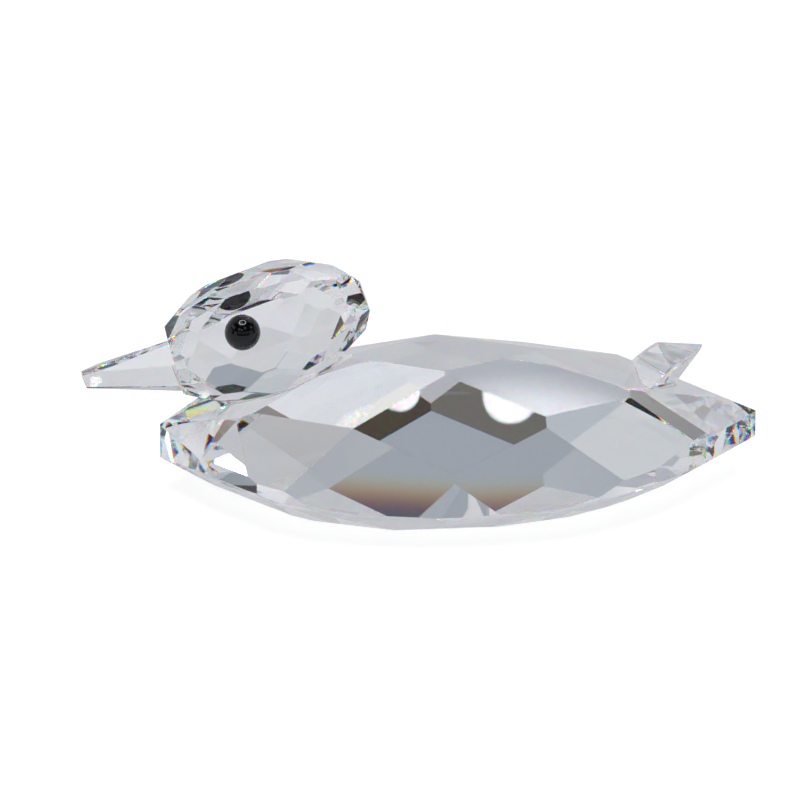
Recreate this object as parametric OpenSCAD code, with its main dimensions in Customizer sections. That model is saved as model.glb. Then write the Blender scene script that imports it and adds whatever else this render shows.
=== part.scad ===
// Cut-crystal swimming duck: four glass blocks and two black glass eyes, glued face to face.
// Beak points to -X, tail to +X, up is +Z. The flat facet under the body rests on Z = 0.
// Every glass block is the overlap of flat facet half-spaces. Facets touch a smooth guide form.
// Units are millimetres and degrees.

/* [Body outline] */
// Distance from the middle of the body to the blunt breast tip
breast_reach = 17.5; // [12:0.1:30]
// Distance from the middle of the body to the pointed tail tip
tail_reach = 19.2; // [12:0.1:32]
// Half of the body width at the girdle
body_half_width = 11.4; // [7:0.1:20]
// How full the outline stays towards the breast, 2 is a parabola
breast_fullness = 2.9; // [1.4:0.05:4]
// How full the outline stays towards the tail
tail_fullness = 2.35; // [1.4:0.05:3]

/* [Body heights] */
// Height of the middle of the girdle band above the table top
girdle_height = 2.8; // [2:0.05:8]
// Thickness of the girdle band
girdle_band = 1.1; // [0.4:0.05:3]
// Height of the back above the middle of the girdle band
crown_rise = 5.45; // [3:0.05:12]
// Half length of the smooth form that the crown facets touch
crown_half_length = 19.8; // [14:0.1:34]
// Half width of the smooth form that the crown facets touch
crown_half_width = 10.4; // [7:0.1:20]

/* [Crown facets] */
// Step between facet columns from the middle to the breast
front_pitch = 6.2; // [4:0.1:12]
// Step between facet columns from the middle to the tail
rear_pitch = 5.5; // [4:0.1:12]
// Step between facet rows from the ridge to the girdle
row_pitch = 3.26; // [2:0.02:8]
// Depth that the head seat is ground below its own ridge facet
seat_depth = 0.15; // [0:0.01:1]

/* [Pavilion] */
// How round the underside facets turn towards the breast, 2 is a parabola
pavilion_turn = 2.0; // [1.4:0.05:3]
// Slope of the underside facets at the breast, from vertical
breast_undercut = 52; // [25:1:70]
// Slope of the underside facets at the tail, from vertical
tail_undercut = 54; // [30:1:70]
// How much steeper the short facets just under the girdle band stand
shoulder_turn = 14; // [6:1:20]
// How much flatter the lowest facets lie, next to the flat resting facet
keel_turn = 12; // [6:1:20]
// Height at which the keel facets touch the main underside facets
keel_height = 0.5; // [0.2:0.05:1.5]

/* [Head] */
// Distance of the head centre in front of the middle of the body
head_forward = 11.2; // [8:0.1:20]
// Height of the head centre above the middle of the girdle band
head_lift = 7.25; // [4:0.05:14]
// Half length of the head form, along the beak direction
head_half_length = 6.6; // [4:0.05:12]
// Half width of the head form
head_half_width = 3.3; // [2:0.05:8]
// Half height of the head form
head_half_height = 3.9; // [2:0.05:8]
// Nose-down angle of the head form
head_dip = 19; // [0:1:45]
// Facets in each full ring around the head
ring_facets = 10; // [6:1:16]

/* [Beak] */
// Length of the beak along its underside
beak_length = 6.1; // [3:0.1:12]
// Half width of the beak at its widest edge, at the root
beak_half_width = 1.35; // [0.6:0.05:3]
// Depth of the beak at the root
beak_depth = 2.8; // [1:0.05:5]
// Lean of the flat front facet of the head that carries the beak
beak_seat_lean = 16; // [0:1:45]

/* [Eyes] */
// Radius of each half-round bead
eye_radius = 1.09; // [0.6:0.01:2.5]

/* [Bonds] */
// Thickness of the clear adhesive under the head, beak and tail
bond_gap = 0.08; // [0.02:0.01:0.2]
// How far the adhesive bead stands out around the joint
bond_lip = 0.12; // [0:0.01:0.4]
// Thickness of the adhesive under each eye
eye_bond_gap = 0.05; // [0.02:0.01:0.2]

/* [Hidden] */
// Edge length of the block used as a half-space
block = 90;
// Roundness of the eye beads and their bonds
$fn = 72;
// Lower edge of the girdle band, where the underside facets begin
girdle_low = girdle_height - girdle_band / 2;

// Slopes and height of the smooth crown form
function crown_slope_x(x) = 2 * crown_rise * x / pow(crown_half_length, 2);
function crown_slope_y(y) = 2 * crown_rise * y / pow(crown_half_width, 2);
function crown_fall(x, y) = pow(x / crown_half_length, 2) + pow(y / crown_half_width, 2);
function crown_z(x, y) = girdle_height + crown_rise * (1 - crown_fall(x, y));

// Staggered diamond net of facet contact points, the same on both flanks
crown_points = [
    for (row = [-4:4])
        for (step = [-3:3])
            if ((row + step) % 2 == 0)
                [step * (step < 0 ? front_pitch : rear_pitch), row * row_pitch]
];

// Plan outline of the girdle: half width and its rate of change along the body
function reach(x) = x < 0 ? breast_reach : tail_reach;
function fullness(x) = x < 0 ? breast_fullness : tail_fullness;
function along(x) = abs(x) / reach(x);
function half_width(x) = body_half_width * (1 - pow(along(x), fullness(x)));
function width_rate(x, power) =
    -sign(x) * body_half_width * power * pow(along(x), power - 1) / reach(x);
// Compass direction that a facet square to the outline faces on the +Y flank
function facet_heading(x, power) = atan2(1, -width_rate(x, power));

// Girdle facets, as positions along the body
girdle_stations = [-16.6, -14, -10, -5, 0, 5, 10, 14, 17, 18.9];
// Main underside facets, and between them the shoulder and keel facets
pavilion_stations = [-16.4, -12.6, -8, -2.6, 2.8, 8, 12.6, 16.4];
between_stations = [-14.8, -10.4, -5.3, 0.1, 5.4, 10.3, 14.6];
// The underside facets turn with the outline at the tail, and less than it at the breast
function turn_power(x) = x < 0 ? pavilion_turn : tail_fullness;
// The slope of the main facets changes evenly from the breast to the tail
function main_undercut(x) =
    breast_undercut
    + (tail_undercut - breast_undercut) * (x + breast_reach) / (tail_reach + breast_reach);

// Steep breast facets: a point on the +Y one, its compass heading and its tilt
breast_point = [-16.7, 1.0, girdle_height + 1.35];
breast_heading = 142;
breast_tilt = 50;

// Slope of the head seat, which is the front ridge facet of the crown
seat_station = 2 * front_pitch;
seat_slope = crown_slope_x(seat_station);
seat_tilt = atan(seat_slope);
seat_point = [-seat_station, 0, crown_z(seat_station, 0) - seat_depth];

// Slope of the tail seat, which is the rear ridge facet of the crown
tail_station = 2 * rear_pitch;
tail_seat_tilt = atan(crown_slope_x(tail_station));
tail_seat_point = [tail_station, 0, crown_z(tail_station, 0)];

// Head placing, facet rings as [latitude towards the nose, facets, part of a step turned]
head_centre = [-head_forward, 0, girdle_height + head_lift];
head_rings = [
    [-90, 1, 0],
    [-64, ring_facets / 2, 0.5],
    [-42, ring_facets, 0],
    [-20, ring_facets, 0.5],
    [2, ring_facets, 0],
    [24, ring_facets, 0.5],
    [46, ring_facets, 0]
];

// Latitude and angle around the axis of every head facet
head_facets = [
    for (ring = head_rings)
        for (k = [0:ring[1] - 1])
            [ring[0], (k + ring[2]) * 360 / ring[1]]
];

// Beak root on the flat front facet of the head
beak_root = [-16.45, 0, girdle_height + 5.3];
beak_low = girdle_height + 3.95;

// Points that the beak facets pass through, the first three a little in front of the root
beak_start_x = beak_root[0] - 0.35;
beak_top = [beak_start_x, 0, beak_low + beak_depth];
beak_crest = beak_top + [0, 0, 0.2];
function beak_edge(side) = [beak_start_x, side * beak_half_width, beak_low + 1.05];
beak_tip = [beak_root[0] - beak_length + 0.5, 0, beak_low + 0.35];
// Tilt of the tip and top facets, and [heading, tilt] of the upper and lower flanks
beak_tip_tilt = 109;
beak_top_tilt = 19.5;
beak_upper_flank = [110.5, 38.7];
beak_lower_flank = [99, 103.9];

// Eye placing, on the large facet of each cheek
eye_centre = [-12.55, 2.7, girdle_height + 8.24];
eye_heading = 100;
eye_tilt = 66;
// How far the adhesive stays inside the rim of the bead
eye_bond_inset = 0.04;

// Space behind one facet. The plane passes through "at" and its outward normal leans
// "tilt" from straight up, towards the compass direction "heading".
module behind_facet(at, heading, tilt, grow = 0) {
    translate(at)
        rotate([0, tilt, heading])
            translate([-block / 2, -block / 2, grow - block])
                cube(block);
}

// Space behind the facet through three corners, on the side away from their right-hand normal
module behind_corners(a, b, c, grow = 0) {
    n = cross(b - a, c - a);
    behind_facet(a, atan2(n[1], n[0]), acos(n[2] / norm(n)), grow);
}

// The same facet on both flanks. It passes "inset" inside the girdle outline at height z, and
// turns in below by "undercut" from vertical. "power" sets the curve that it faces square to.
module flank_pair(x, z, undercut, power, inset = 0) {
    heading = facet_heading(x, power);
    px = x - inset * cos(heading);
    py = half_width(x) - inset * sin(heading);
    intersection() {
        behind_facet([px, py, z], heading, 90 + undercut);
        behind_facet([px, -py, z], -heading, 90 + undercut);
    }
}

// Upper side of the body: a diamond net of facets
module crown_cuts() {
    intersection_for (p = crown_points) {
        sx = crown_slope_x(p[0]);
        sy = crown_slope_y(p[1]);
        behind_facet([p[0], p[1], crown_z(p[0], p[1])], atan2(sy, sx), atan(norm([sx, sy])));
    }
}

// Two steep facets that turn the crown down to the breast tip
module breast_cuts() {
    intersection_for (side = [-1, 1])
        behind_facet([breast_point[0], side * breast_point[1], breast_point[2]],
            side * breast_heading, breast_tilt);
}

// Upright girdle facets and the two blunt ends
module girdle_cuts() {
    intersection() {
        intersection_for (x = girdle_stations)
            flank_pair(x, girdle_height, 0, fullness(x));
        behind_facet([-breast_reach, 0, 0], 180, 90);
        behind_facet([tail_reach, 0, 0], 0, 90);
    }
}

// Underside facets from the girdle band in to the flat resting facet
module pavilion_cuts() {
    intersection() {
        intersection_for (x = pavilion_stations)
            flank_pair(x, girdle_low, main_undercut(x), turn_power(x));
        intersection_for (x = between_stations)
            flank_pair(x, girdle_low, main_undercut(x) - shoulder_turn, turn_power(x));
        intersection_for (x = between_stations)
            flank_pair(x, keel_height, main_undercut(x) + keel_turn, turn_power(x),
                (girdle_low - keel_height) * tan(main_undercut(x)));
        behind_facet([0, 0, 0], 0, 180);
    }
}

module body_crystal() {
    color([0.83, 0.88, 0.92])
        intersection() {
            crown_cuts();
            behind_facet(seat_point, 180, seat_tilt);
            breast_cuts();
            girdle_cuts();
            pavilion_cuts();
        }
}

// Smooth head form in its own frame: contact point at a latitude and an angle around the axis
function head_point(lat, turn) = [
    -head_half_length * sin(lat),
    -head_half_width * cos(lat) * cos(turn),
    head_half_height * cos(lat) * sin(turn)
];
function head_normal(p) = [
    p[0] / pow(head_half_length, 2),
    p[1] / pow(head_half_width, 2),
    p[2] / pow(head_half_height, 2)
];

// Rings of facets around the long axis of the head
module head_ring_cuts(grow) {
    translate(head_centre)
        rotate([0, -head_dip, 0])
            intersection_for (f = head_facets) {
                p = head_point(f[0], f[1]);
                n = head_normal(p);
                behind_facet(p, atan2(n[1], n[0]), acos(n[2] / norm(n)), grow);
            }
}

// Head block without its flat glued face
module head_form(grow = 0) {
    intersection() {
        head_ring_cuts(grow);
        behind_facet([eye_centre[0], -eye_centre[1], eye_centre[2]], -eye_heading, eye_tilt);
        behind_facet(eye_centre, eye_heading, eye_tilt);
        behind_facet(beak_root, 180, 90 + beak_seat_lean);
    }
}

// The glued face of the head lies one adhesive film above the seat on the body
module above_seat(gap) {
    behind_facet(seat_point, 0, 180 - seat_tilt, -gap);
}

module head_crystal() {
    color([0.86, 0.90, 0.94])
        intersection() {
            head_form();
            above_seat(bond_gap);
        }
}

// Tapered six-sided beak form: flat bottom, two flanks, two upper flanks and a narrow top
module beak_form(grow = 0) {
    intersection() {
        behind_facet(beak_tip, 180, beak_tip_tilt);
        behind_facet(beak_top, 180, beak_top_tilt, grow);
        behind_facet([beak_start_x, 0, beak_low], 0, 180, grow);
        intersection_for (side = [-1, 1])
            intersection() {
                behind_facet(beak_crest, side * beak_upper_flank[0], beak_upper_flank[1], grow);
                behind_facet(beak_edge(side), side * beak_lower_flank[0],
                    beak_lower_flank[1], grow);
            }
    }
}

module beak_crystal() {
    color([0.88, 0.92, 0.95])
        intersection() {
            beak_form();
            behind_facet(beak_root, 0, 90 - beak_seat_lean, -bond_gap);
        }
}

// Tail block: a small roofed wedge that widens upwards and leans back
ridge_front = [12.8, 0, girdle_height + 5.72];
ridge_rear = [15.95, 0, girdle_height + 5.45];
keel_rear = [14.3, 0, girdle_height + 3.08];
function flank_corner(side) = [13.65, 1.65 * side, girdle_height + 4.6];
function front_corner(side) = [11.55, 0.45 * side, girdle_height + 4.45];
function brow_corner(side) = [12.4, 1.0 * side, girdle_height + 5.2];
function foot_front(side) = [12.05, 2.0 * side, girdle_height + 3.35];

// The rear face cuts the ridge a little short and leans in below
tail_back_inset = 0.15;
tail_back_tilt = 101;

// One flank of the tail. The winding is turned over on the other flank.
module tail_flank(side, grow) {
    module cut(a, b, c) {
        if (side > 0)
            behind_corners(a, b, c, grow);
        else
            behind_corners(a, c, b, grow);
    }
    intersection() {
        cut(ridge_front, ridge_rear, flank_corner(side));
        cut(ridge_rear, keel_rear, flank_corner(side));
        cut(flank_corner(side), foot_front(side), front_corner(side));
        cut(ridge_front, brow_corner(side), front_corner(side));
    }
}

module tail_form(grow = 0) {
    intersection() {
        tail_flank(1, grow);
        tail_flank(-1, grow);
        behind_corners(front_corner(1), foot_front(-1), front_corner(-1), grow);
        behind_facet(ridge_rear - [tail_back_inset, 0, 0], 0, tail_back_tilt, grow);
    }
}

module tail_crystal() {
    color([0.86, 0.90, 0.94])
        intersection() {
            tail_form();
            behind_facet(tail_seat_point, 180, 180 - tail_seat_tilt, -bond_gap);
        }
}

// Half-round bead with its flat back on the cheek facet, one adhesive film away
module eye_bead(side) {
    translate([eye_centre[0], side * eye_centre[1], eye_centre[2]])
        rotate([0, eye_tilt, side * eye_heading])
            translate([0, 0, eye_bond_gap])
                intersection() {
                    sphere(r = eye_radius);
                    translate([-2 * eye_radius, -2 * eye_radius, 0])
                        cube(4 * eye_radius);
                }
}

module eye_left() {
    color([0.03, 0.03, 0.035])
        eye_bead(-1);
}

module eye_right() {
    color([0.03, 0.03, 0.035])
        eye_bead(1);
}

// Disc of adhesive under one eye
module eye_film(side) {
    translate([eye_centre[0], side * eye_centre[1], eye_centre[2]])
        rotate([0, eye_tilt, side * eye_heading])
            cylinder(r = eye_radius - eye_bond_inset, h = eye_bond_gap);
}

module eye_bond_left() {
    color([0.8, 0.78, 0.7])
        eye_film(-1);
}

module eye_bond_right() {
    color([0.8, 0.78, 0.7])
        eye_film(1);
}

// Adhesive between head and body, with a small bead around the joint
module head_bond() {
    color([0.9, 0.88, 0.8])
        intersection() {
            head_form(bond_lip);
            above_seat(0);
            behind_facet(seat_point, 180, seat_tilt, bond_gap);
        }
}

// Adhesive between the beak root and the flat front facet of the head
module beak_bond() {
    color([0.9, 0.88, 0.8])
        intersection() {
            beak_form(bond_lip);
            behind_facet(beak_root, 0, 90 - beak_seat_lean);
            behind_facet(beak_root, 180, 90 + beak_seat_lean, bond_gap);
        }
}

// Adhesive between the foot of the tail and the rear ridge facet of the body
module tail_bond() {
    color([0.9, 0.88, 0.8])
        intersection() {
            tail_form(bond_lip);
            behind_facet(tail_seat_point, 180, 180 - tail_seat_tilt);
            behind_facet(tail_seat_point, 0, tail_seat_tilt, bond_gap);
        }
}

body_crystal();
head_crystal();
beak_crystal();
tail_crystal();
eye_left();
eye_right();
head_bond();
beak_bond();
tail_bond();
eye_bond_left();
eye_bond_right();
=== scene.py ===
"""Looks for a cut-crystal swimming duck: polished glass blocks, black bead eyes and clear glue lines."""

import math
import random

import bmesh
import bpy
from mathutils import Matrix, Vector


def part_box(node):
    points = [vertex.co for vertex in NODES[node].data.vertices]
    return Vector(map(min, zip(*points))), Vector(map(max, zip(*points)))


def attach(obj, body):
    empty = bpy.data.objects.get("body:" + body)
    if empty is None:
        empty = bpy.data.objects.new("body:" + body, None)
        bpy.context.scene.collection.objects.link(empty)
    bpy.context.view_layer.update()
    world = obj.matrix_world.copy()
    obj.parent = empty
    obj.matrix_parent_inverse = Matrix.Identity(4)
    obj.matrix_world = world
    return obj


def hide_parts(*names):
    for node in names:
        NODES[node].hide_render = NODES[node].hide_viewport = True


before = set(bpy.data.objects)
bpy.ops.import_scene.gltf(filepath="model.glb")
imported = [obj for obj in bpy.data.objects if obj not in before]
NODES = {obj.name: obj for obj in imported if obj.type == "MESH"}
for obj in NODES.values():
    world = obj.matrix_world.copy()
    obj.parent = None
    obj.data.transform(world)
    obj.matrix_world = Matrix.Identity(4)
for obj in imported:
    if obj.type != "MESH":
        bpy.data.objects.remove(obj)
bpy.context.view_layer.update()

MM = 0.001
BODY = "root"

CHANCE = random.Random(7)

# Lengths below this count as zero
TINY = 0.00001 * MM
# Corners closer together than this are one corner
WELD = 0.001 * MM
# Faces closer than this to a joint plane belong to the joint
PLANE_TOL = 0.004 * MM
# CAD triangles that meet below this angle are one facet, in degrees
FLAT_ANGLE = 0.4
# Cosines of the angle between normals: parallel faces, and faces that look roughly the same way
PARALLEL = 0.9999
SAME_WAY = 0.985

# The polished arris: its width, and the least angle in degrees of an edge that has one
ARRIS = 0.03 * MM
ARRIS_ANGLE = 3

# Refractive indices. Red and blue lie DISPERSION below and above the crystal's own.
CRYSTAL_IOR = 1.56
DISPERSION = 0.005
GLUE_IOR = 1.5
JET_IOR = 1.45
# From glue into air
BUBBLE_IOR = 0.67

EYE_SEGMENTS = 64
EYE_ARC_STEPS = 24
# The rounded rim at the flat back of an eye
EYE_RIM = 0.06 * MM
EYE_RIM_STEPS = 4
# Corners of the round footprint that an eye's adhesive leaves on the head
FOOTPRINT_CORNERS = 24

# Each film has one air bubble for this much of its rim
BUBBLE_STEP = 0.12 * MM
# Least radius of a bubble and the most that chance adds, as parts of the film's thickness
BUBBLE_RADIUS = 0.18
BUBBLE_SPREAD = 0.24
# Least way in from the rim and the most that chance adds, as parts of the way to the middle
BUBBLE_INSET = 0.04
BUBBLE_DRIFT = 0.5

# Places in a piece's list of materials
CONTACT_SLOT = 1
BUBBLE_SLOT = 2

# The studio, painted by direction. Headings in degrees run from straight behind the duck (0)
# towards its tail (90). Each card: heading from/to, elevation from/to, soft edge, colour.
# A later card covers an earlier one.
CARDS = (
    # pale sweep behind the duck, a little brighter to both sides
    ((-75, 75), (-9, 26.6), 1.0, (0.335, 0.368, 0.420)),
    ((-75, -9), (-9, 30.0), 4.0, (0.600, 0.630, 0.660)),
    ((14, 80), (10, 29.5), 3.5, (0.520, 0.540, 0.570)),
    # two dark blocks low in front of the sweep
    ((6.4, 12), (13.96, 18.5), 0.18, (0.070, 0.085, 0.120)),
    ((-1, 4), (14.71, 18.5), 0.18, (0.090, 0.105, 0.145)),
    # flags above the sweep, two of them dark
    ((6.5, 14), (26.6, 31.6), 0.5, (0.055, 0.043, 0.028)),
    ((-3.2, 6.5), (26.6, 31.6), 0.6, (0.140, 0.133, 0.122)),
    ((-14, -3.2), (26.6, 32), 0.8, (0.470, 0.510, 0.560)),
    # pale cards leaning over the duck
    ((-70, 2), (31.8, 62), 1.2, (0.400, 0.420, 0.470)),
    ((2, 8), (31.8, 62), 1.2, (0.460, 0.470, 0.510)),
    ((8, 70), (31.8, 62), 0.9, (0.600, 0.620, 0.660)),
    ((8, 70), (38.2, 62), 0.9, (0.740, 0.760, 0.800)),
    ((10, 17), (31.6, 36), 1.2, (0.820, 0.820, 0.800)),
    # a second pale sweep on the near side, in two parts
    ((143, 182), (9, 27), 2.0, (0.300, 0.330, 0.380)),
    ((-182, -143), (9, 27), 2.0, (0.300, 0.330, 0.380)),
    # side cards
    ((75, 97), (-9, 24), 2.0, (0.400, 0.420, 0.450)),
    ((109, 140), (-9, 24), 2.0, (0.440, 0.460, 0.490)),
    ((-140, -117), (-9, 22), 2.0, (0.560, 0.580, 0.600)),
    ((-104, -75), (-9, 22), 2.0, (0.520, 0.540, 0.560)),
    ((96, 116), (30, 44), 1.5, (0.800, 0.800, 0.800)),
    ((-112, -70), (28, 42), 1.5, (0.800, 0.800, 0.800)),
)
# What is left between the cards
ROOM = (0.014, 0.011, 0.008)

# Round lamps: heading, elevation, radius in degrees, brightness
LAMPS = (
    (160.0, 48.0, 9.0, 0.75),
    (-150.0, 40.0, 9.0, 0.75),
    (-172.0, 37.0, 2.0, 9.0),
    (76.87, 84.24, 0.237, 18.0),
    (73.47, 85.16, 0.167, 18.0),
    (29.1, 54.3, 1.95, 6.0),
)
# The soft edge of a lamp runs between these parts of its radius
LAMP_EDGE = (1.1, 0.9)
LAMP_BLUE = 1.03
# A ring lamp hangs straight over the duck: inner and outer radius and soft edge in degrees, brightness
RING = (15.5, 18.0, 0.6, 18.0)

# A square soft light above the duck, in metres and watts
KEY_PLACE = (-0.1, -0.05, 0.5)
KEY_WIDTH = 0.22
KEY_POWER = 0.25

# The light table: half its width, and how far it lies below the duck
FLOOR_HALF = 3.0
FLOOR_DROP = 0.02 * MM
FLOOR_PAINT = (0.30, 0.30, 0.31, 1)
FLOOR_GLOW = (0.86, 0.86, 0.86, 1)
# Its glow seen through the glass, with painted shade under the duck and a painted band of light around
# it: (part of FLOOR_REACH from the origin, tone), and the tint of the tones
FLOOR_REACH = 80 * MM
FLOOR_PAINTED_SHADE_AND_LIGHT = ((0.0, 0.36), (0.12, 0.42), (0.26, 0.50), (0.36, 0.38), (0.6, 0.40), (1.0, 0.40))
FLOOR_RED = 0.97
FLOOR_BLUE = 1.05

# The camera: angles in degrees, and how far left of the origin and above it the camera aims
CAMERA_ELEVATION = 22
CAMERA_YAW = 5
CAMERA_DISTANCE = 400 * MM
AIM_LEFT = 2.77 * MM
AIM_UP = 4.75 * MM
# Width of the sensor and focal length, in millimetres
SENSOR = 36.0
LENS = 292.5

# Light bounces many times inside a cut block before it leaves
BOUNCES = 40
GLOSSY_BOUNCES = 16


# ---------------------------------------------------------------- materials

def new_material(name):
    material = bpy.data.materials.new(name)
    material.use_nodes = True
    nodes = material.node_tree.nodes
    nodes.clear()
    return material, nodes, material.node_tree.links


def crystal_material(name):
    """Clear cut glass. Where the view first enters it, red, green and blue bend by different amounts."""
    material, nodes, links = new_material(name)
    out = nodes.new("ShaderNodeOutputMaterial")

    def glass(colour, index):
        shader = nodes.new("ShaderNodeBsdfGlass")
        shader.inputs["Color"].default_value = colour
        shader.inputs["Roughness"].default_value = 0.0
        shader.inputs["IOR"].default_value = index
        return shader.outputs[0]

    def join(kind, a, b):
        node = nodes.new(kind)
        links.new(a, node.inputs[-2])
        links.new(b, node.inputs[-1])
        return node

    red = glass((1, 0, 0, 1), CRYSTAL_IOR - DISPERSION)
    green = glass((0, 1, 0, 1), CRYSTAL_IOR)
    blue = glass((0, 0, 1, 1), CRYSTAL_IOR + DISPERSION)
    yellow = join("ShaderNodeAddShader", red, green)
    split = join("ShaderNodeAddShader", yellow.outputs[0], blue)
    pick = join("ShaderNodeMixShader", glass((1, 1, 1, 1), CRYSTAL_IOR), split.outputs[0])
    path = nodes.new("ShaderNodeLightPath")
    links.new(path.outputs["Is Camera Ray"], pick.inputs[0])
    links.new(pick.outputs[0], out.inputs["Surface"])
    return material


def contact_material(name):
    """Where glass, glue and glass touch, light goes straight on."""
    material, nodes, links = new_material(name)
    out = nodes.new("ShaderNodeOutputMaterial")
    clear = nodes.new("ShaderNodeBsdfTransparent")
    links.new(clear.outputs[0], out.inputs["Surface"])
    return material


def glue_material(name):
    """Hardened clear adhesive with a slightly uneven skin."""
    material, nodes, links = new_material(name)
    out = nodes.new("ShaderNodeOutputMaterial")
    shader = nodes.new("ShaderNodeBsdfPrincipled")
    shader.inputs["Base Color"].default_value = (0.95, 0.93, 0.88, 1)
    shader.inputs["Roughness"].default_value = 0.12
    shader.inputs["IOR"].default_value = GLUE_IOR
    shader.inputs["Transmission Weight"].default_value = 0.85
    noise = nodes.new("ShaderNodeTexNoise")
    noise.inputs["Scale"].default_value = 9000
    noise.inputs["Detail"].default_value = 3
    coords = nodes.new("ShaderNodeTexCoord")
    bump = nodes.new("ShaderNodeBump")
    bump.inputs["Strength"].default_value = 0.5
    bump.inputs["Distance"].default_value = 0.02 * MM
    links.new(coords.outputs["Object"], noise.inputs["Vector"])
    links.new(noise.outputs["Fac"], bump.inputs["Height"])
    links.new(bump.outputs["Normal"], shader.inputs["Normal"])
    links.new(shader.outputs[0], out.inputs["Surface"])
    return material


def jet_material(name):
    """Polished black glass."""
    material, nodes, links = new_material(name)
    out = nodes.new("ShaderNodeOutputMaterial")
    shader = nodes.new("ShaderNodeBsdfPrincipled")
    shader.inputs["Base Color"].default_value = (0.003, 0.003, 0.004, 1)
    shader.inputs["Roughness"].default_value = 0.03
    shader.inputs["IOR"].default_value = JET_IOR
    links.new(shader.outputs[0], out.inputs["Surface"])
    return material


def bubble_material(name):
    """Air trapped in the glue."""
    material, nodes, links = new_material(name)
    out = nodes.new("ShaderNodeOutputMaterial")
    shader = nodes.new("ShaderNodeBsdfGlass")
    shader.inputs["Roughness"].default_value = 0.1
    shader.inputs["IOR"].default_value = BUBBLE_IOR
    links.new(shader.outputs[0], out.inputs["Surface"])
    return material


CRYSTAL = crystal_material("crystal")
CONTACT = contact_material("glued_face")
GLUE = glue_material("glue")
JET = jet_material("jet")
BUBBLE = bubble_material("air_bubbles")


# ---------------------------------------------------------------- mesh helpers

def facets_of(node):
    """The CAD solid as flat facets: one face for each cut plane."""
    bm = bmesh.new()
    bm.from_mesh(NODES[node].data)
    bmesh.ops.remove_doubles(bm, verts=bm.verts, dist=WELD)
    bmesh.ops.dissolve_limit(bm, angle_limit=math.radians(FLAT_ANGLE), verts=bm.verts, edges=bm.edges)
    bm.normal_update()
    return bm


def largest_face_towards(bm, direction, alignment):
    """The biggest face whose normal agrees with a unit direction at least that well."""
    near = [f for f in bm.faces if f.normal.dot(direction) > alignment]
    return max(near, key=lambda f: f.calc_area())


def two_largest(bm):
    return sorted(bm.faces, key=lambda f: -f.calc_area())[:2]


def touches(face, normal, point):
    """Whether a face lies back to back with the plane through a point that has that normal."""
    facing = face.normal.dot(-normal) > PARALLEL
    return facing and abs((point - face.verts[0].co).dot(normal)) < PLANE_TOL


def outline(face):
    return [v.co.copy() for v in face.verts]


def middle_of(points):
    return sum(points, Vector()) / len(points)


def ring(centre, normal, radius, count):
    """Points evenly round a circle that faces along a normal."""
    side = normal.orthogonal().normalized()
    up = normal.cross(side)
    angles = [2 * math.pi * k / count for k in range(count)]
    return [centre + radius * (math.cos(a) * side + math.sin(a) * up) for a in angles]


def inward_sides(points, normal):
    """The sides of a flat convex outline as (point, direction pointing inwards)."""
    centre = middle_of(points)
    sides = []
    for a, b in zip(points, points[1:] + points[:1]):
        if (b - a).length < WELD:
            continue
        inward = normal.cross(b - a).normalized()
        if inward.dot(centre - a) < 0:
            inward = -inward
        sides.append((a, inward))
    return sides


def mark_contact(bm, face, footprint):
    """Cuts one facet along a footprint and makes the part inside a glued face."""
    sides = inward_sides(footprint, face.normal.copy())
    pieces = [face]
    for point, inward in sides:
        geom = set(pieces)
        for f in pieces:
            geom.update(f.edges)
            geom.update(f.verts)
        result = bmesh.ops.bisect_plane(bm, geom=list(geom), dist=TINY, plane_co=point, plane_no=inward)
        pieces = [g for g in result["geom"] if isinstance(g, bmesh.types.BMFace)]
        pieces = [f for f in pieces if f.is_valid]
    for f in pieces:
        centre = f.calc_center_median()
        if all((centre - p).dot(n) > 0 for p, n in sides):
            f.material_index = CONTACT_SLOT
    bm.normal_update()


def piece_from(bm, name, materials, stands_for, arris=ARRIS):
    mesh = bpy.data.meshes.new(name)
    bm.to_mesh(mesh)
    bm.free()
    for material in materials:
        mesh.materials.append(material)
    piece = bpy.data.objects.new(name, mesh)
    bpy.context.scene.collection.objects.link(piece)
    if arris:
        bevel = piece.modifiers.new("arris", "BEVEL")
        bevel.width = arris
        bevel.segments = 1
        bevel.limit_method = "ANGLE"
        bevel.angle_limit = math.radians(ARRIS_ANGLE)
        bevel.harden_normals = False
    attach(piece, BODY)
    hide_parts(stands_for)
    return piece


# ---------------------------------------------------------------- glass blocks

def glued_planes(bond):
    """The two big faces of a film of glue, as (normal, outline)."""
    bm = facets_of(bond)
    planes = [(f.normal.copy(), outline(f)) for f in two_largest(bm)]
    bm.free()
    return planes


def mark_bond(bm, bond):
    """Marks where a film of glue touches this solid."""
    for normal, points in glued_planes(bond):
        for face in list(bm.faces):
            if touches(face, normal, points[0]):
                mark_contact(bm, face, points)
                break


def side_name(stem, side):
    return stem + ("_left" if side < 0 else "_right")


def eye_disc(side):
    """Centre, outward normal and radius of the adhesive disc under one eye, where it meets the head."""
    low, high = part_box("head_crystal")
    middle = (low + high) / 2
    planes = glued_planes(side_name("eye_bond", side))
    normal, points = min(planes, key=lambda plane: (middle_of(plane[1]) - middle).length)
    centre = middle_of(points)
    radius = max((p - centre).length for p in points)
    return centre, -normal, radius


def build_body():
    bm = facets_of("body_crystal")
    mark_bond(bm, "head_bond")
    mark_bond(bm, "tail_bond")
    return piece_from(bm, "body_glass", [CRYSTAL, CONTACT], "body_crystal")


def build_head():
    bm = facets_of("head_crystal")
    mark_bond(bm, "head_bond")
    mark_bond(bm, "beak_bond")
    for side in (-1, 1):
        centre, normal, radius = eye_disc(side)
        face = largest_face_towards(bm, normal, SAME_WAY)
        mark_contact(bm, face, ring(centre, normal, radius, FOOTPRINT_CORNERS))
    return piece_from(bm, "head_glass", [CRYSTAL, CONTACT], "head_crystal")


def build_beak():
    bm = facets_of("beak_crystal")
    mark_bond(bm, "beak_bond")
    return piece_from(bm, "beak_glass", [CRYSTAL, CONTACT], "beak_crystal")


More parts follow.
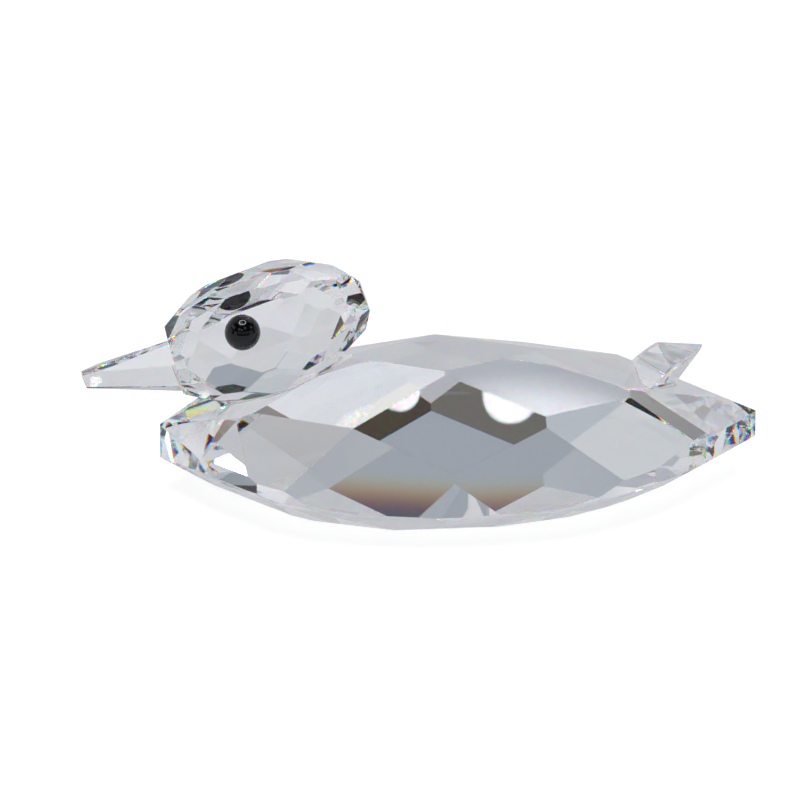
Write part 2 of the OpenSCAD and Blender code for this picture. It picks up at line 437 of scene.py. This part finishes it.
def build_tail():
    bm = facets_of("tail_crystal")
    mark_bond(bm, "tail_bond")
    return piece_from(bm, "tail_glass", [CRYSTAL, CONTACT], "tail_crystal")


# ---------------------------------------------------------------- glue and eyes

def add_bubbles(bm, rim, normal, far_point):
    """Tiny air bubbles in the film, most of them close to its edge."""
    depth = abs((far_point - rim[0]).dot(normal))
    centre = middle_of(rim)
    length = sum((b - a).length for a, b in zip(rim, rim[1:] + rim[:1]))
    for _ in range(round(length / BUBBLE_STEP)):
        k = CHANCE.randrange(len(rim))
        along = rim[k].lerp(rim[(k + 1) % len(rim)], CHANCE.random())
        spot = along.lerp(centre, BUBBLE_INSET + BUBBLE_DRIFT * CHANCE.random() ** 3)
        radius = depth * (BUBBLE_RADIUS + BUBBLE_SPREAD * CHANCE.random())
        place = Matrix.Translation(spot - normal * depth / 2) @ Matrix.Scale(radius, 4)
        made = bmesh.ops.create_icosphere(bm, subdivisions=1, radius=1.0, matrix=place)
        for face in {f for v in made["verts"] for f in v.link_faces}:
            face.material_index = BUBBLE_SLOT
            face.smooth = True


def build_film(bond, neighbours, name):
    """A film of glue, marked where the glass blocks on its two sides touch it."""
    bm = facets_of(bond)
    faces = two_largest(bm)
    planes = [(f.normal.copy(), f.verts[0].co.copy()) for f in faces]
    for neighbour in neighbours:
        other = facets_of(neighbour)
        for normal, point in planes:
            match = [f for f in other.faces if touches(f, normal, point)]
            if match:
                target = largest_face_towards(bm, normal, PARALLEL)
                mark_contact(bm, target, outline(match[0]))
        other.free()
    add_bubbles(bm, outline(faces[0]), planes[0][0], planes[1][1])
    return piece_from(bm, name, [GLUE, CONTACT, BUBBLE], bond, arris=0)


def bead_profile(radius):
    """Half of a half-round bead, as (distance from its axis, height), with a rounded rim at its back."""
    profile = [(0, 0), (radius - EYE_RIM, 0)]
    for k in range(1, EYE_RIM_STEPS + 1):
        a = math.pi / 2 * k / EYE_RIM_STEPS
        profile.append((radius - EYE_RIM + EYE_RIM * math.sin(a), EYE_RIM - EYE_RIM * math.cos(a)))
    start = math.asin(EYE_RIM / radius)
    for k in range(1, EYE_ARC_STEPS + 1):
        a = start + (math.pi / 2 - start) * k / EYE_ARC_STEPS
        profile.append((radius * math.cos(a), radius * math.sin(a)))
    return profile


def build_eye(side):
    """A half-round bead, turned from its profile."""
    name = side_name("eye", side)
    centre, normal, _ = eye_disc(side)
    heights = [(v.co - centre).dot(normal) for v in NODES[name].data.vertices]
    base = centre + normal * min(heights)
    bead = bmesh.new()
    rings = []
    for reach, height in bead_profile(max(heights) - min(heights)):
        at = base + normal * height
        points = [at] if reach < TINY else ring(at, normal, reach, EYE_SEGMENTS)
        rings.append([bead.verts.new(p) for p in points])
    for lower, upper in zip(rings, rings[1:]):
        for k in range(EYE_SEGMENTS):
            n = (k + 1) % EYE_SEGMENTS
            if len(lower) == 1:
                bead.faces.new((lower[0], upper[n], upper[k]))
            elif len(upper) == 1:
                bead.faces.new((lower[k], lower[n], upper[0]))
            else:
                bead.faces.new((lower[k], lower[n], upper[n], upper[k]))
    for f in bead.faces:
        f.smooth = True
    bmesh.ops.recalc_face_normals(bead, faces=bead.faces)
    return piece_from(bead, side_name("bead", side), [JET], name, arris=0)


build_body()
build_head()
build_beak()
build_tail()
build_film("head_bond", ("body_crystal", "head_crystal"), "glue_head")
build_film("beak_bond", ("head_crystal", "beak_crystal"), "glue_beak")
build_film("tail_bond", ("body_crystal", "tail_crystal"), "glue_tail")
for side in (-1, 1):
    build_eye(side)
    eye_bond = NODES[side_name("eye_bond", side)]
    eye_bond.data.materials.clear()
    eye_bond.data.materials.append(CONTACT)


# ---------------------------------------------------------------- stage

def floor_material():
    """A white light table. Rays that have been through the glass find it greyer than the camera does,
    with painted shade under the duck and a painted band of light around it.
    """
    material, nodes, links = new_material("floor")
    out = nodes.new("ShaderNodeOutputMaterial")
    lit = nodes.new("ShaderNodeBsdfDiffuse")
    glow = nodes.new("ShaderNodeEmission")
    both = nodes.new("ShaderNodeAddShader")
    path = nodes.new("ShaderNodeLightPath")

    # Seen through the glass, the table carries painted shade and light: darkest right under the duck,
    # brightest in a painted band around it, and dimmer further out
    coords = nodes.new("ShaderNodeTexCoord")
    reach = nodes.new("ShaderNodeVectorMath")
    reach.operation = "LENGTH"
    links.new(coords.outputs["Object"], reach.inputs[0])
    ramp = nodes.new("ShaderNodeMapRange")
    ramp.inputs["From Max"].default_value = FLOOR_REACH
    links.new(reach.outputs["Value"], ramp.inputs["Value"])
    # Painted shade under the duck and a painted band of light around it, by distance from the origin
    painted_shade_and_light_bands = nodes.new("ShaderNodeValToRGB")
    while len(painted_shade_and_light_bands.color_ramp.elements) < len(FLOOR_PAINTED_SHADE_AND_LIGHT):
        painted_shade_and_light_bands.color_ramp.elements.new(0.5)
    for element, (place, tone) in zip(painted_shade_and_light_bands.color_ramp.elements, FLOOR_PAINTED_SHADE_AND_LIGHT):
        element.position = place
        element.color = (tone * FLOOR_RED, tone, tone * FLOOR_BLUE, 1)
    links.new(ramp.outputs[0], painted_shade_and_light_bands.inputs["Fac"])

    glow_mix = nodes.new("ShaderNodeMix")
    glow_mix.data_type = "RGBA"
    glow_mix.inputs["B"].default_value = FLOOR_GLOW
    links.new(painted_shade_and_light_bands.outputs["Color"], glow_mix.inputs["A"])
    links.new(path.outputs["Is Camera Ray"], glow_mix.inputs["Factor"])
    links.new(glow_mix.outputs["Result"], glow.inputs["Color"])
    lit.inputs["Color"].default_value = FLOOR_PAINT
    links.new(lit.outputs[0], both.inputs[0])
    links.new(glow.outputs[0], both.inputs[1])
    links.new(both.outputs[0], out.inputs["Surface"])
    return material


def build_floor():
    bm = bmesh.new()
    bmesh.ops.create_grid(bm, x_segments=1, y_segments=1, size=FLOOR_HALF)
    mesh = bpy.data.meshes.new("floor")
    bm.to_mesh(mesh)
    bm.free()
    mesh.materials.append(floor_material())
    floor = bpy.data.objects.new("floor", mesh)
    floor.location.z = -FLOOR_DROP
    bpy.context.scene.collection.objects.link(floor)


def build_key():
    """The soft key light, turned towards the origin."""
    light = bpy.data.lights.new("key", "AREA")
    light.shape = "RECTANGLE"
    light.size = KEY_WIDTH
    light.size_y = KEY_WIDTH
    light.energy = KEY_POWER
    lamp = bpy.data.objects.new("key", light)
    lamp.location = KEY_PLACE
    lamp.rotation_euler = (-Vector(KEY_PLACE)).to_track_quat("-Z", "Y").to_euler()
    bpy.context.scene.collection.objects.link(lamp)


def direction_of(heading, elevation):
    """The unit vector towards a place in the studio, from its angles in degrees."""
    around = math.radians(heading)
    up = math.radians(elevation)
    return Vector((math.sin(around) * math.cos(up), math.cos(around) * math.cos(up), math.sin(up)))


def build_world():
    """A photo studio painted by direction: pale sweeps, flags, cards and lamps in a dark room."""
    world = bpy.data.worlds.new("studio")
    bpy.context.scene.world = world
    world.use_nodes = True
    nodes = world.node_tree.nodes
    links = world.node_tree.links
    nodes.clear()
    out = nodes.new("ShaderNodeOutputWorld")
    coords = nodes.new("ShaderNodeTexCoord")
    direction = coords.outputs["Generated"]
    split = nodes.new("ShaderNodeSeparateXYZ")
    links.new(direction, split.inputs[0])

    def maths(operation, *values):
        node = nodes.new("ShaderNodeMath")
        node.operation = operation
        for socket, value in zip(node.inputs, values):
            links.new(value, socket)
        return node.outputs[0]

    def rise(value, low, high):
        node = nodes.new("ShaderNodeMapRange")
        node.interpolation_type = "SMOOTHSTEP"
        links.new(value, node.inputs["Value"])
        node.inputs["From Min"].default_value = low
        node.inputs["From Max"].default_value = high
        return node.outputs[0]

    def blend(factor, a, b):
        node = nodes.new("ShaderNodeMix")
        node.data_type = "RGBA"
        links.new(factor, node.inputs["Factor"])
        for name, value in (("A", a), ("B", b)):
            if isinstance(value, tuple):
                node.inputs[name].default_value = (*value, 1)
            else:
                links.new(value, node.inputs[name])
        return node.outputs["Result"]

    def within(value, low, high, soft):
        past_low = rise(value, low - soft, low + soft)
        past_high = rise(value, high - soft, high + soft)
        return maths("SUBTRACT", past_low, past_high)

    heading = maths("DEGREES", maths("ARCTAN2", split.outputs["X"], split.outputs["Y"]))
    elevation = maths("DEGREES", maths("ARCSINE", split.outputs["Z"]))
    light = ROOM
    for (left, right), (low, high), soft, colour in CARDS:
        across = within(heading, left, right, soft)
        upright = within(elevation, low, high, soft)
        light = blend(maths("MULTIPLY", across, upright), light, colour)

    for around, up, radius, power in LAMPS:
        dot = nodes.new("ShaderNodeVectorMath")
        dot.operation = "DOT_PRODUCT"
        links.new(direction, dot.inputs[0])
        dot.inputs[1].default_value = direction_of(around, up)
        away = maths("DEGREES", maths("ARCCOSINE", dot.outputs["Value"]))
        disc = rise(away, radius * LAMP_EDGE[0], radius * LAMP_EDGE[1])
        light = blend(disc, light, (power, power, power * LAMP_BLUE))
    inner, outer, soft, power = RING
    light = blend(within(elevation, 90 - outer, 90 - inner, soft), light, (power, power, power))

    # The camera itself sees plain white behind the table
    back = nodes.new("ShaderNodeBackground")
    links.new(light, back.inputs["Color"])
    white = nodes.new("ShaderNodeBackground")
    white.inputs["Color"].default_value = (1, 1, 1, 1)
    path = nodes.new("ShaderNodeLightPath")
    pick = nodes.new("ShaderNodeMixShader")
    links.new(path.outputs["Is Camera Ray"], pick.inputs[0])
    links.new(back.outputs[0], pick.inputs[1])
    links.new(white.outputs[0], pick.inputs[2])
    links.new(pick.outputs[0], out.inputs["Surface"])


def build_camera():
    elevation = math.radians(CAMERA_ELEVATION)
    yaw = math.radians(CAMERA_YAW)
    level = math.cos(elevation)
    back = Vector((-math.sin(yaw) * level, -math.cos(yaw) * level, math.sin(elevation)))
    right = Vector((math.cos(yaw), -math.sin(yaw), 0))
    up = back.cross(right)
    data = bpy.data.cameras.new("camera")
    data.sensor_width = SENSOR
    data.lens = LENS
    data.clip_start = 0.01
    camera = bpy.data.objects.new("camera", data)
    camera.location = back * CAMERA_DISTANCE - right * AIM_LEFT + up * AIM_UP
    camera.rotation_euler = back.to_track_quat("Z", "Y").to_euler()
    bpy.context.scene.collection.objects.link(camera)
    bpy.context.scene.camera = camera


build_floor()
build_world()
build_key()
build_camera()

scene = bpy.context.scene
scene.view_settings.view_transform = "Standard"
scene.cycles.max_bounces = BOUNCES
scene.cycles.transmission_bounces = BOUNCES
scene.cycles.glossy_bounces = GLOSSY_BOUNCES
scene.cycles.transparent_max_bounces = BOUNCES
scene.cycles.caustics_refractive = True
scene.cycles.caustics_reflective = True
